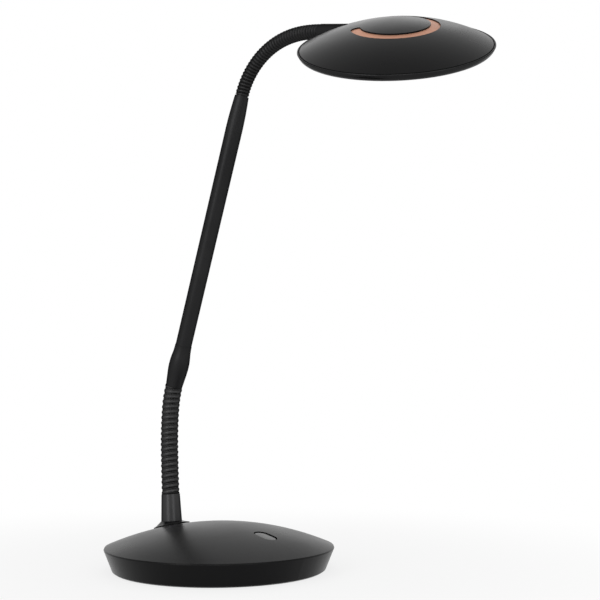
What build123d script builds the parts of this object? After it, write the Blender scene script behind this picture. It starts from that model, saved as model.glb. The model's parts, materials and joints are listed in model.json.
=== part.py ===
"""Gooseneck desk lamp: a weighted round base, a jointed neck with a straight arm, and a saucer head.

Millimetres, +Z up, +X to the front, origin at the centre of the footprint on the desk.
The neck lies in the XZ plane. Each gooseneck is a chain of short ribbed links on ball seats.
"""

from build123d import *
import math
import os

os.makedirs("parts", exist_ok=True)

# ---------------------------------------------------------------- driving dimensions
# base
base_rim_d = 180.0  # widest diameter, at the edge of the dome
base_foot_d = 165.6  # the side wall tapers in to this at its lower edge
base_wall_h = 17.3  # lower edge to rim
base_dome_h = 18.1  # rim to crown
base_skin = 2.5
base_rim_bevel = 0.8
base_edge_bevel = 1.0
foot_stand = 0.8  # the shell's edge above the desk
pad_inset = 16.8  # the non-slip pad's edge inside the foot's
pad_t = 2.0
pad_bevel = 0.4
plate_z = 1.0  # underside of the bottom plate
plate_t = 2.0
ballast_h = 9.0
ballast_chamfer = 1.0
ballast_post_inset = 24.0  # the shell's posts inside the ballast's edge
ballast_post_d = 8.0
base_boss_inset = 8.8  # the plate's screws inside the foot's edge
base_boss_d = 8.0
base_screw_d = 3.0
base_screw_l = 9.0
screw_head_t = 1.1
# power button and its switch
button_inset = 39.5  # from the rim to the button's centre
button_l = 19.4
button_w = 11.4
button_round = 0.8
button_set = 0.5  # top of the cap below the dome
button_travel = 0.6
button_seat_t = 3.6  # thickness of the dome around the button
button_flange_over = 1.6
button_flange_t = 1.0
button_stem_d = 5.0
button_stem_l = 1.8
plunger_d = 3.5
plunger_h = 1.2
switch_size = 6.2
switch_h = 3.6
board_l = 44.0
board_w = 24.0
board_t = 1.6
board_post_d = 6.0
board_screw_span = 34.0
board_screw_d = 2.2
board_screw_l = 6.0
# power inlet at the rear
inlet_z = 9.6
inlet_l = 12.0
inlet_w = 10.0
inlet_h = 10.4
inlet_nose_d = 8.0
inlet_bore_d = 6.2
inlet_depth = 9.0
inlet_pin_d = 2.1
inlet_pin_set = 1.0
inlet_set = 1.2  # the nose's face behind the wall's surface, at the axis
inlet_room = 5.5  # from the inlet's inner end to the ballast
# stem on the base
stem_room = 10.7  # from the power inlet's inner end to the stem's axis
stem_lean = 4.5  # degrees, backwards
stem_collar_d = 29.6
stem_collar_h = 3.8
stem_collar_lip = 0.5
stem_collar_skirt = 2.9
stem_collar_waist = 1.0
stem_socket_top = 27.0  # height of the first neck joint above the dome
stem_socket_d = 17.1
stem_socket_tip_d = 15.2
stem_socket_bevel = 0.4
stem_shank_d = 10.0
stem_boss_d = 22.0
stem_boss_drop = 7.0  # clamped thickness below the dome's surface
washer_d = 20.0
washer_t = 1.0
nut_h = 5.0
nut_flats = 16.0
# goosenecks: diameters, ribs and the forward bend of each link in degrees
ribs_per_link = 4
lower_crest_d = 14.6
lower_root_d = 13.2
lower_pitch = 4.4
lower_ball_d = 8.8
lower_swing = 12.0  # degrees each way at one joint
lower_bends = [1.3, 0.8, 3.4, 4.6, 13.45]
upper_crest_d = 11.1
upper_root_d = 9.9
upper_pitch = 2.8
upper_ball_d = 6.6
upper_swing = 9.0
upper_bends = [13.2, 12.8, 12.2, 11.3, 10.2, 8.9, 7.4, 5.7, 3.8]
# arm
coupler_l = 36.0
coupler_foot_d = 13.9
coupler_cone_l = 12.0  # from the last lower joint to where the cone rounds into the bulge
coupler_bulge_d = 16.75
coupler_bulge_at = 18.8  # from the last lower joint
coupler_lip = 0.25
arm_foot_d = 13.4  # the tube widens a little on its way up
arm_tube_d = 13.8
arm_bore_d = 11.0
arm_tube_l = 196.3
tube_in_coupler = 16.0
arm_taper_l = 30.2  # from the tube's end to the first upper joint
arm_plug_l = 14.0  # tail of the taper inside the tube
upper_lip = 0.1
lead_d = 3.0
# head swivel, measured along its axis from the last neck joint
ferrule_l = 30.5  # to the shoulder
ferrule_d = 11.4
spigot_d = 8.0
spigot_l = 12.6
hub_l = 9.8
hub_d = 12.0
clip_d = 12.4
clip_t = 0.8
clip_bite = 0.7
clip_mouth = 0.8  # width of the clip's mouth over its bore
# head
head_d = 139.7
head_crown = 18.4  # rim to crown
head_shoulder = 15.0  # rim to the inlay, inside which the crown is rounder
head_skin = 2.2
head_rim_t = 4.6  # width of the shell's edge face
head_skirt_h = 1.8
head_lip = 4.65  # rim to underside
head_lip_d = 129.9  # where the rounded lip meets the flat underside
head_lip_set = 0.25  # the bezel's edge inside the shell's
head_reach = 71.47  # last neck joint to the head's centre, along the rim plane
head_axis_h = 1.86  # last neck joint above the rim plane
head_tilt = 7.1  # degrees between the swivel's axis and the rim plane
head_roll = 27.5  # degrees the head is turned on its swivel
window_d = 97.0
bezel_t = 2.0
bezel_lip_t = 0.8
bezel_bulge = 0.9  # of the rounded lip beyond a straight bevel
bezel_screw_r = 59.0
bezel_boss_d = 6.4
bezel_screw_d = 2.2
bezel_screw_l = 5.5
diffuser_t = 0.6
guide_d = 100.4
guide_t = 1.4
reflector_t = 0.2
strip_d = 104.4
strip_t = 0.4
led_count = 24
led_size = (1.0, 3.0, 1.3)  # towards the axis, around it, along it
back_plate_d = 92.0
back_plate_t = 0.8
plate_screw_r = 19.0
plate_screw_d = 2.5
plate_screw_l = 7.0
plate_boss_d = 7.0
channel_wall = 1.2
inlay_d = 63.0
inlay_w = 6.7
inlay_t = 1.0
inlay_set = 0.9  # below the crown's surface
inlay_sweep = 262.0  # degrees, open towards the neck
# clearances
cable_bore_d = 3.6
ball_clear = 0.25  # around each ball
joint_clear = 0.2  # left between two links at full swing
fit_clear = 0.3
slip_clear = 0.1
seat_clear = 0.05
thread_clear = 0.03
swivel_clear = 0.05
trough_clear = 0.45

# ---------------------------------------------------------------- small helpers


def sphere_through(low, high):
    """Centre height and radius of the sphere on the axis through two (radius, height) points."""
    centre = (low[0] ** 2 + low[1] ** 2 - high[0] ** 2 - high[1] ** 2) / (2 * (low[1] - high[1]))
    return centre, math.hypot(low[0], low[1] - centre)


def dome_height(at_r, knots):
    """Height of a dome at a distance from its axis. It is spherical between each two of its knots."""
    for low, high in zip(knots, knots[1:]):
        if high[0] <= at_r <= low[0]:
            centre, radius = sphere_through(low, high)
            return centre + math.sqrt(radius**2 - at_r**2)


def dome_curve(knots, lift=0.0):
    """Draw a dome's outline from its rim to its crown in the open line, and give its two ends."""
    raised = [(at_r, height + lift) for at_r, height in knots]
    for low, high in zip(raised, raised[1:]):
        middle = (low[0] + high[0]) / 2
        ThreePointArc(low, (middle, dome_height(middle, raised)), high)
    return raised[0], raised[-1]


def frame_ahead(start, length, bend=0.0):
    """The frame at the end of an arc that leaves start along its Z and bends towards its X."""
    angle = math.radians(bend)
    if abs(angle) < 1e-6:
        ahead, aside = length, 0.0
    else:
        ahead = length / angle * math.sin(angle)
        aside = length / angle * (1 - math.cos(angle))
    origin = start.origin + start.z_dir * ahead + start.x_dir * aside
    tangent = start.z_dir * math.cos(angle) + start.x_dir * math.sin(angle)
    inward = start.x_dir * math.cos(angle) - start.z_dir * math.sin(angle)
    return Plane(origin=origin, x_dir=inward, z_dir=tangent)


def spun(frame, degrees):
    """The frame turned about its own Z."""
    angle = math.radians(degrees)
    outward = frame.x_dir * math.cos(angle) + frame.y_dir * math.sin(angle)
    return Plane(origin=frame.origin, x_dir=outward, z_dir=frame.z_dir)


def side_of(frame):
    """The sketch plane whose X is the frame's X and whose Y is the frame's Z."""
    return Plane(origin=frame.origin, x_dir=frame.x_dir, z_dir=-frame.y_dir)


def axis_of(frame):
    """The frame's Z as an axis."""
    return Axis(frame.origin, frame.z_dir)


def turn(frame, outline, mode=Mode.ADD):
    """Revolve a closed outline of (radius, height) points about the frame's Z, in the open part."""
    with BuildSketch(side_of(frame)) as profile:
        with BuildLine():
            Polyline(*outline, close=True)
        make_face()
    revolve(profile.sketch, axis=axis_of(frame), mode=mode)


def bar(frame, diameter, start, end, mode=Mode.ADD):
    """A round bar or bore along the frame's Z, from start to end, in the open part."""
    with BuildSketch(frame.offset(start)) as section:
        Circle(diameter / 2)
    extrude(section.sketch, amount=end - start, mode=mode)


def keep(part, name):
    """Label a finished piece and write its file."""
    part.label = name
    export_step(part, f"parts/{name}.step")


# ---------------------------------------------------------------- frames
base_rim_r = base_rim_d / 2
base_foot_r = base_foot_d / 2
button_r = base_rim_r - button_inset
base_rim_z = foot_stand + base_wall_h
base_top_z = base_rim_z + base_dome_h
base_dome = [(base_rim_r, base_rim_z), (0, base_top_z)]

wall_lean = (base_rim_r - base_foot_r) / base_wall_h  # outward run per unit of height
wall_across = base_skin * math.hypot(1, wall_lean)  # skin measured level
cavity_foot_r = base_foot_r - wall_across  # at the shell's lower edge
inlet_foot_z = inlet_z - inlet_h / 2
inlet_near_z = inlet_foot_z if wall_lean > 0 else inlet_foot_z + inlet_h  # where the wall comes nearest
inlet_front = cavity_foot_r + (inlet_near_z - foot_stand) * wall_lean - slip_clear
inlet_back = inlet_front - inlet_l
stem_r = inlet_back - stem_room

lean = math.radians(stem_lean)
stem = Plane(
    origin=(-stem_r, 0, dome_height(stem_r, base_dome)),
    x_dir=(math.cos(lean), 0, math.sin(lean)),
    z_dir=(-math.sin(lean), 0, math.cos(lean)),
)


def chain_frames(start, rib_pitch, bends):
    """The frames of a gooseneck's joints, from its first to its last."""
    frames = [start]
    for bend in bends:
        frames.append(frame_ahead(frames[-1], rib_pitch * ribs_per_link, bend))
    return frames


lower_joints = chain_frames(frame_ahead(stem, stem_socket_top), lower_pitch, lower_bends)
arm = lower_joints[-1]  # its Z is the straight arm's axis
tube_foot = coupler_l - tube_in_coupler
tube_top = tube_foot + arm_tube_l
arm_top = tube_top + arm_taper_l
upper_joints = chain_frames(frame_ahead(arm, arm_top), upper_pitch, upper_bends)
last_joint = upper_joints[-1]  # its Z is the head's swivel axis, its X points down and back

roll = math.radians(head_roll)
tilt = math.radians(head_tilt)
crown_side = -last_joint.x_dir * math.cos(roll) - last_joint.y_dir * math.sin(roll)
swivel = Plane(origin=last_joint.origin, x_dir=crown_side, z_dir=last_joint.z_dir)
head_normal = swivel.x_dir * math.cos(tilt) + swivel.z_dir * math.sin(tilt)
head_forward = swivel.z_dir * math.cos(tilt) - swivel.x_dir * math.sin(tilt)
head = Plane(
    origin=swivel.origin + head_forward * head_reach - head_normal * head_axis_h,
    x_dir=head_forward,
    z_dir=head_normal,
)
head_rim_r = head_d / 2
head_dome = [(head_rim_r, 0), ((inlay_d - inlay_w) / 2, head_shoulder), (0, head_crown)]

button_tilt = math.asin(button_r / sphere_through(*base_dome)[1])
button = Plane(
    origin=(button_r, 0, dome_height(button_r, base_dome)),
    x_dir=(math.cos(button_tilt), 0, -math.sin(button_tilt)),
    z_dir=(math.sin(button_tilt), 0, math.cos(button_tilt)),
)

# ---------------------------------------------------------------- base
cavity_rim_z = base_rim_z - base_skin
cavity_rim_r = cavity_foot_r + (cavity_rim_z - foot_stand) * wall_lean
cavity_dome = [(cavity_rim_r, cavity_rim_z), (0, base_top_z - base_skin)]
plate_top = plate_z + plate_t
ballast_top = plate_top + ballast_h
base_boss_r = base_foot_r - base_boss_inset
pad_r = base_foot_r - pad_inset
ballast_r = inlet_back - inlet_room

# heights along the button's own axis, below the dome's surface
flange_top = -button_seat_t - slip_clear
flange_foot = flange_top - button_flange_t
cap_foot = flange_foot - button_stem_l
switch_top = cap_foot - plunger_h
board_top = switch_top - switch_h
button_gap = fit_clear + slip_clear  # level gap around the cap

# the power inlet lies level behind the rear wall
inlet_wall_r = base_foot_r + (inlet_z - foot_stand) * wall_lean
inlet = Plane(origin=(-inlet_front, 0, inlet_z), x_dir=(0, -1, 0), z_dir=(-1, 0, 0))
inlet_nose_l = inlet_wall_r - inlet_set - inlet_front
cradle_x = -(base_rim_r + inlet_back) / 2
cradle_l = base_rim_r - inlet_back


def base_boss_spots():
    return PolarLocations(base_boss_r, 4, start_angle=45)


def board_screw_spots():
    return GridLocations(0, board_screw_span, 1, 2)


with BuildPart() as base_cavity:
    with BuildSketch(Plane.XZ):
        with BuildLine():
            rim, crown = dome_curve(cavity_dome)
            Polyline(crown, (0, 0), (cavity_foot_r - foot_stand * wall_lean, 0), rim)
        make_face()
    revolve(axis=Axis.Z)
    # what is cut away here stays standing in the shell: bosses, posts and the inlet's cradle
    with BuildSketch(Plane.XY.offset(plate_top)):
        with base_boss_spots():
            Circle(base_boss_d / 2)
    extrude(amount=base_top_z, mode=Mode.SUBTRACT)
    with BuildSketch(Plane.XY.offset(ballast_top + slip_clear)):
        with PolarLocations(ballast_r - ballast_post_inset, 3, start_angle=60):
            Circle(ballast_post_d / 2)
    extrude(amount=base_top_z, mode=Mode.SUBTRACT)
    bar(stem, stem_boss_d, -stem_boss_drop, base_top_z, Mode.SUBTRACT)
    with BuildSketch(button.offset(-button_seat_t)):
        SlotOverall(button_l + 4 * button_flange_over, button_w + 4 * button_flange_over)
    extrude(amount=base_top_z, mode=Mode.SUBTRACT)
    with BuildSketch(button.offset(board_top)):
        with board_screw_spots():
            Circle(board_post_d / 2)
    extrude(amount=base_top_z, mode=Mode.SUBTRACT)
    with BuildSketch(Plane.XY.offset(plate_top + slip_clear)):
        with Locations((cradle_x, 0)):
            with GridLocations(0, inlet_w + 2 * slip_clear + base_skin, 1, 2):
                Rectangle(cradle_l, base_skin)
    extrude(amount=inlet_foot_z + inlet_h - plate_top, mode=Mode.SUBTRACT)
    with BuildSketch(Plane.XY.offset(inlet_foot_z + inlet_h + slip_clear)):
        with Locations((cradle_x, 0)):
            Rectangle(cradle_l, inlet_w + 2 * slip_clear + 2 * base_skin)
    extrude(amount=base_skin, mode=Mode.SUBTRACT)

with BuildPart() as base_shell:
    with BuildSketch(Plane.XZ) as profile:
        with BuildLine():
            rim, crown = dome_curve(base_dome)
            Polyline(crown, (0, foot_stand), (base_foot_r, foot_stand), rim)
        make_face()
        chamfer(profile.vertices().sort_by(Axis.X)[-2], base_edge_bevel)
        chamfer(profile.vertices().sort_by(Axis.X)[-1], base_rim_bevel)
    revolve(axis=Axis.Z)
    add(base_cavity.part, mode=Mode.SUBTRACT)
    with BuildSketch(button.offset(-button_seat_t - base_skin)):
        SlotOverall(button_l + 2 * button_gap, button_w + 2 * button_gap)
    extrude(amount=base_top_z, mode=Mode.SUBTRACT)
    bar(stem, stem_shank_d + 2 * slip_clear, -base_top_z / 2, base_top_z, Mode.SUBTRACT)
    bar(inlet, inlet_nose_d + 2 * slip_clear, -slip_clear, base_rim_r, Mode.SUBTRACT)
    with BuildSketch(Plane.XY.offset(plate_top)):
        with base_boss_spots():
            Circle(base_screw_d / 2 + thread_clear)
    extrude(amount=base_screw_l, mode=Mode.SUBTRACT)
    with BuildSketch(button.offset(board_top)):
        with board_screw_spots():
            Circle(board_screw_d / 2 + thread_clear)
    extrude(amount=board_screw_l, mode=Mode.SUBTRACT)
keep(base_shell.part, "base_shell")

with BuildPart() as base_plate:
    with BuildSketch(Plane.XY.offset(plate_z)):
        Circle(cavity_foot_r - fit_clear)
    extrude(amount=plate_t)
    with BuildSketch(Plane.XY.offset(plate_top)):
        Circle(ballast_r + fit_clear + base_skin)
        Circle(ballast_r + fit_clear, mode=Mode.SUBTRACT)
    extrude(amount=ballast_h / 3)
    with BuildSketch(Plane.XY.offset(plate_top)):
        with Locations((-(inlet_front + inlet_back) / 2, 0)):
            Rectangle(inlet_l - 2 * base_skin, inlet_w - 2 * fit_clear)
    extrude(amount=inlet_foot_z - plate_top - slip_clear)
    with BuildSketch(Plane.XY.offset(plate_z)):
        Circle(pad_r + slip_clear)
    extrude(amount=pad_t - plate_z, mode=Mode.SUBTRACT)
    with Locations(Plane(origin=(0, 0, plate_z), z_dir=(0, 0, -1))):
        with base_boss_spots():
            CounterBoreHole(
                radius=base_screw_d / 2 + slip_clear,
                counter_bore_radius=base_screw_d + slip_clear,
                counter_bore_depth=screw_head_t + slip_clear,
                depth=plate_t,
            )
keep(base_plate.part, "base_plate")

with BuildPart() as base_pad:
    with BuildSketch():
        Circle(pad_r)
    extrude(amount=pad_t)
    chamfer(base_pad.edges().group_by(Axis.Z)[0], pad_bevel)
keep(base_pad.part, "base_pad")

with BuildPart() as base_ballast:
    with BuildSketch(Plane.XY.offset(plate_top)):
        Circle(ballast_r)
    extrude(amount=ballast_h)
    chamfer(base_ballast.edges(), ballast_chamfer)
keep(base_ballast.part, "base_ballast")

with BuildPart() as base_screws:
    with BuildSketch(Plane.XY.offset(plate_z + slip_clear)):
        with base_boss_spots():
            Circle(base_screw_d)
    extrude(amount=screw_head_t)
    with BuildSketch(Plane.XY.offset(plate_z + slip_clear + screw_head_t)):
        with base_boss_spots():
            Circle(base_screw_d / 2)
    extrude(amount=base_screw_l)
keep(base_screws.part, "base_screws")

# ---------------------------------------------------------------- power button and switch
with BuildPart() as power_button:
    with BuildSketch(button.offset(flange_foot)):
        SlotOverall(button_l, button_w)
    extrude(amount=-flange_foot - button_set)
    fillet(power_button.edges().group_by(Axis(button.origin, button.z_dir))[-1], button_round)
    with BuildSketch(button.offset(flange_foot)):
        SlotOverall(
            button_l + 2 * button_gap + 2 * button_flange_over,
            button_w + 2 * button_gap + 2 * button_flange_over,
        )
    extrude(amount=button_flange_t)
    bar(button, button_stem_d, cap_foot, flange_foot)
keep(power_button.part, "power_button")

with BuildPart() as switch_plunger:
    bar(button, plunger_d, switch_top - button_travel - slip_clear, cap_foot)
keep(switch_plunger.part, "switch_plunger")

with BuildPart() as switch_body:
    with BuildSketch(button.offset(board_top)):
        Rectangle(switch_size, switch_size)
    extrude(amount=switch_h)
    bar(
        button,
        plunger_d + 2 * slip_clear,
        switch_top - 2 * button_travel - slip_clear,
        switch_top,
        Mode.SUBTRACT,
    )
keep(switch_body.part, "switch_body")

with BuildPart() as control_board:
    with BuildSketch(button.offset(board_top - board_t)):
        Rectangle(board_w, board_l)
        with board_screw_spots():
            Circle(board_screw_d / 2 + slip_clear, mode=Mode.SUBTRACT)
    extrude(amount=board_t)
keep(control_board.part, "control_board")

with BuildPart() as board_screws:
    with BuildSketch(button.offset(board_top - board_t)):
        with board_screw_spots():
            Circle(board_screw_d)
    extrude(amount=-screw_head_t)
    with BuildSketch(button.offset(board_top - board_t)):
        with board_screw_spots():
            Circle(board_screw_d / 2)
    extrude(amount=board_t + board_screw_l - fit_clear)
keep(board_screws.part, "board_screws")

# ---------------------------------------------------------------- power inlet
with BuildPart() as power_inlet:
    with BuildSketch(inlet):
        Rectangle(inlet_w, inlet_h)
    extrude(amount=-inlet_l)
    bar(inlet, inlet_nose_d, 0, inlet_nose_l)
    bar(inlet, inlet_bore_d, inlet_nose_l - inlet_depth, inlet_nose_l, Mode.SUBTRACT)
    bar(inlet, inlet_pin_d, inlet_nose_l - inlet_depth, inlet_nose_l - inlet_pin_set)
keep(power_inlet.part, "power_inlet")

# ---------------------------------------------------------------- stem on the base
with BuildPart() as stem_collar:
    with BuildSketch(side_of(stem)):
        with BuildLine():
            inner = stem_shank_d / 2 + slip_clear
            lip = (stem_socket_d / 2 + stem_collar_lip, stem_collar_h)
            hem = (stem_collar_d / 2, -stem_collar_skirt)
            waist = (
                (lip[0] + hem[0]) / 2 - stem_collar_waist,
                (lip[1] + hem[1]) / 2 - stem_collar_waist,
            )
            Polyline(hem, waist, lip, (inner, stem_collar_h), (inner, -stem_boss_drop))
            Polyline((inner, -stem_boss_drop), (hem[0], -stem_boss_drop), hem)
        make_face()
    revolve(axis=axis_of(stem))
    # the underside lies on the dome
    with BuildSketch(Plane.XZ):
        with BuildLine():
            rim, crown = dome_curve(base_dome, lift=seat_clear)
            Polyline(crown, (0, -base_top_z), (base_rim_r, -base_top_z), rim)
        make_face()
    revolve(axis=Axis.Z, mode=Mode.SUBTRACT)
keep(stem_collar.part, "stem_collar")


def half_gap(crest_d, swing):
    """How far a link's end stands back from the joint, so that full swing leaves joint_clear."""
    return (crest_d / 2 * math.tan(math.radians(swing)) + joint_clear) / 2


lower_gap = half_gap(lower_crest_d, lower_swing)
upper_gap = half_gap(upper_crest_d, upper_swing)

with BuildPart() as stem_socket:
    socket_tip = stem_socket_top - lower_gap
    turn(
        stem,
        [
            (0, stem_collar_h),
            (stem_socket_d / 2, stem_collar_h),
            (stem_socket_tip_d / 2, socket_tip),
            (0, socket_tip),
        ],
    )
    chamfer(stem_socket.edges().group_by(axis_of(stem))[-1], stem_socket_bevel)
    bar(stem, stem_shank_d, -stem_boss_drop - washer_t - nut_h - 1.0, stem_collar_h)
    bar(stem, cable_bore_d, -base_top_z, stem_socket_top, Mode.SUBTRACT)
    with Locations(lower_joints[0]):
        Sphere(lower_ball_d / 2 + ball_clear, mode=Mode.SUBTRACT)
keep(stem_socket.part, "stem_socket")

with BuildPart() as stem_washer:
    bar(stem, washer_d, -stem_boss_drop - washer_t, -stem_boss_drop)
    bar(stem, stem_shank_d + 2 * slip_clear, -base_top_z / 2, 0, Mode.SUBTRACT)
keep(stem_washer.part, "stem_washer")

with BuildPart() as stem_nut:
    with BuildSketch(stem.offset(-stem_boss_drop - washer_t)):
        RegularPolygon(nut_flats / 2, 6, major_radius=False)
        Circle(stem_shank_d / 2 + thread_clear, mode=Mode.SUBTRACT)
    extrude(amount=-nut_h)
keep(stem_nut.part, "stem_nut")


# ---------------------------------------------------------------- goosenecks
def neck_link(start, end, bend, crest_d, root_d, ball_d, gap):
    """One ribbed link: a ball at its foot, a cup at its top and a bore for the lead.

    It is turned about the line between its two joints, and its ends are cut square to their frames.
    """
    chord = frame_ahead(start, 0, bend / 2)
    length = (end.origin - start.origin).length
    rib = length / ribs_per_link
    outline = [(0, -gap), (root_d / 2, -gap)]
    for count in range(ribs_per_link):
        outline += [(crest_d / 2, (count + 0.5) * rib), (root_d / 2, (count + 1) * rib)]
    outline[-1] = (root_d / 2, length + gap)
    outline.append((0, length + gap))
    with BuildPart() as link:
        turn(chord, outline)
        split(bisect_by=start.offset(gap), keep=Keep.TOP)
        split(bisect_by=end.offset(-gap), keep=Keep.BOTTOM)
        with Locations(start):
            Sphere(ball_d / 2)
        with Locations(end):
            Sphere(ball_d / 2 + ball_clear, mode=Mode.SUBTRACT)
        bar(chord, cable_bore_d, -ball_d, length, Mode.SUBTRACT)
    return link.part


for number, bend in enumerate(lower_bends, 1):
    link = neck_link(
        lower_joints[number - 1],
        lower_joints[number],
        bend,
        lower_crest_d,
        lower_root_d,
        lower_ball_d,
        lower_gap,
    )
    keep(link, f"lower_neck_link_{number}")

for number, bend in enumerate(upper_bends, 1):
    link = neck_link(
        upper_joints[number - 1],
        upper_joints[number],
        bend,
        upper_crest_d,
        upper_root_d,
        upper_ball_d,
        upper_gap,
    )
    keep(link, f"upper_neck_link_{number}")

# ---------------------------------------------------------------- arm
with BuildPart() as lower_coupler:
    with BuildSketch(side_of(arm)):
        with BuildLine():
            foot = (coupler_foot_d / 2, lower_gap)
            bulge = (coupler_bulge_d / 2, coupler_bulge_at)
            tip = (arm_foot_d / 2 + coupler_lip, coupler_l)
            halfway = ((bulge[0] + tip[0]) / 2, (bulge[1] + tip[1]) / 2)
            # a line tangent to an arc rises twice as steeply as the arc's own chord
            arc_l = coupler_bulge_at - coupler_cone_l
            arc_rise = (bulge[0] - foot[0]) / (1 + 2 * (coupler_cone_l - lower_gap) / arc_l)
            cone_top = (bulge[0] - arc_rise, coupler_cone_l)
            Line(foot, cone_top)
            TangentArc(bulge, cone_top, tangent=(0, -1))
            TangentArc(bulge, halfway, tangent=(0, 1))
            TangentArc(tip, halfway, tangent=(0, -1))
            Polyline(tip, (0, coupler_l), (0, lower_gap), foot)
        make_face()
    revolve(axis=axis_of(arm))
    with Locations(arm):
        Sphere(lower_ball_d / 2)
    bar(arm, cable_bore_d, -lower_ball_d, coupler_l, Mode.SUBTRACT)
    bar(arm, arm_foot_d + 2 * slip_clear, tube_foot, coupler_l, Mode.SUBTRACT)
keep(lower_coupler.part, "lower_coupler")

with BuildPart() as arm_tube:
    tube_start = tube_foot + slip_clear
    turn(
        arm,
        [
            (0, tube_start),
            (arm_foot_d / 2, tube_start),
            (arm_foot_d / 2, coupler_l),
            (arm_tube_d / 2, tube_top),
            (0, tube_top),
        ],
    )
    bar(arm, arm_bore_d, tube_foot, tube_top, Mode.SUBTRACT)
keep(arm_tube.part, "arm_tube")

with BuildPart() as upper_coupler:
    with BuildSketch(side_of(arm)):
        with BuildLine():
            plug_r = arm_bore_d / 2 - slip_clear
            shoulder = (arm_tube_d / 2, tube_top + slip_clear)
            mouth = (upper_crest_d / 2 + upper_lip, arm_top - upper_gap)
            TangentArc(shoulder, mouth, tangent=(0, 1))
            Polyline(mouth, (0, mouth[1]), (0, tube_top - arm_plug_l), (plug_r, tube_top - arm_plug_l))
            Polyline((plug_r, tube_top - arm_plug_l), (plug_r, shoulder[1]), shoulder)
        make_face()
    revolve(axis=axis_of(arm))
    with Locations(upper_joints[0]):
        Sphere(upper_ball_d / 2 + ball_clear, mode=Mode.SUBTRACT)
    bar(arm, cable_bore_d, 0, arm_top, Mode.SUBTRACT)
keep(upper_coupler.part, "upper_coupler")

with BuildPart() as arm_lead:
    bar(arm, lead_d, tube_foot / 2, tube_top - arm_plug_l / 2)
keep(arm_lead.part, "arm_lead")

# ---------------------------------------------------------------- swivel
spigot_end = ferrule_l + spigot_l
hub_start = ferrule_l + fit_clear
hub_end = hub_start + hub_l
clip_start = hub_end + fit_clear
groove_d = spigot_d - 2 * clip_bite

with BuildPart() as head_ferrule:
    turn(
        swivel,
        [
            (0, upper_gap),
            (ferrule_d / 2, upper_gap),
            (ferrule_d / 2, ferrule_l),
            (spigot_d / 2, ferrule_l),
            (spigot_d / 2, clip_start - slip_clear),
            (groove_d / 2, clip_start - slip_clear),
            (groove_d / 2, clip_start + clip_t + slip_clear),
            (spigot_d / 2, clip_start + clip_t + slip_clear),
            (spigot_d / 2, spigot_end),
            (0, spigot_end),
        ],
    )
    with Locations(swivel):
        Sphere(upper_ball_d / 2)
    bar(swivel, cable_bore_d, -upper_ball_d, spigot_end, Mode.SUBTRACT)
keep(head_ferrule.part, "head_ferrule")

with BuildPart() as swivel_clip:
    bar(swivel, clip_d, clip_start, clip_start + clip_t)
    bar(swivel, groove_d + 2 * seat_clear, clip_start, clip_start + clip_t, Mode.SUBTRACT)
    with BuildSketch(swivel.offset(clip_start)):
        with Locations((-clip_d / 2, 0)):
            Rectangle(clip_d, groove_d * clip_mouth)
    extrude(amount=clip_t, mode=Mode.SUBTRACT)
keep(swivel_clip.part, "swivel_clip")

# ---------------------------------------------------------------- head
head_lip_r = head_lip_d / 2
window_r = window_d / 2
bezel_top = bezel_t - head_lip
rebate_r = strip_d / 2 + slip_clear
diffuser_z = bezel_lip_t - head_lip
guide_z = diffuser_z + diffuser_t
reflector_z = guide_z + guide_t
back_plate_z = reflector_z + reflector_t
back_plate_top = back_plate_z + back_plate_t
skirt_r = head_rim_r - head_rim_t
bezel_wall_r = skirt_r + channel_wall + slip_clear
cavity_crown = [(skirt_r, 0), (0, head_crown - head_skin)]
trough_d = ferrule_d + 2 * trough_clear
inlay_outer_r = inlay_d / 2
inlay_middle_r = inlay_outer_r - inlay_w / 2
groove_depth = inlay_set + inlay_t + seat_clear


def bezel_screw_spots():
    return PolarLocations(bezel_screw_r, 4, start_angle=45)


def plate_screw_spots():
    return PolarLocations(plate_screw_r, 3, start_angle=60)


def open_trough():
    """Cut the round-bottomed way in for the ferrule, open on the crown side, in the open part."""
    with BuildSketch(swivel.offset(-head_rim_r)) as way:
        Circle(trough_d / 2)
        with Locations((head_rim_r / 2, 0)):
            Rectangle(head_rim_r, trough_d)
    extrude(way.sketch, amount=head_rim_r + hub_start, mode=Mode.SUBTRACT)


def crown_band(width, top, bottom, sweep):
    """A round-ended band under the crown, between two depths below its surface."""
    radii = (inlay_middle_r - inlay_w, inlay_middle_r, inlay_middle_r + inlay_w)
    upper = [(r, dome_height(r, head_dome) - top) for r in radii]
    lower = [(r, height - bottom + top) for r, height in upper]
    with BuildPart() as band:
        with BuildSketch(side_of(head)) as ring:
            with BuildLine():
                ThreePointArc(*upper)
                Line(upper[-1], lower[-1])
                ThreePointArc(*lower)
                Line(lower[0], upper[0])
            make_face()
        revolve(ring.sketch, axis=axis_of(head))
        half = math.radians(sweep / 2)
        mouth = (head_d * math.cos(half), head_d * math.sin(half))
        with BuildSketch(head) as plan:
            Circle(inlay_middle_r + width / 2)
            Circle(inlay_middle_r - width / 2, mode=Mode.SUBTRACT)
            Polygon((0, 0), mouth, (mouth[0], -mouth[1]), align=None, mode=Mode.SUBTRACT)
            with PolarLocations(inlay_middle_r, 2, -sweep / 2, sweep, endpoint=True):
                Circle(width / 2)
        extrude(plan.sketch, amount=2 * head_crown, mode=Mode.INTERSECT)
    return band.part


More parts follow.
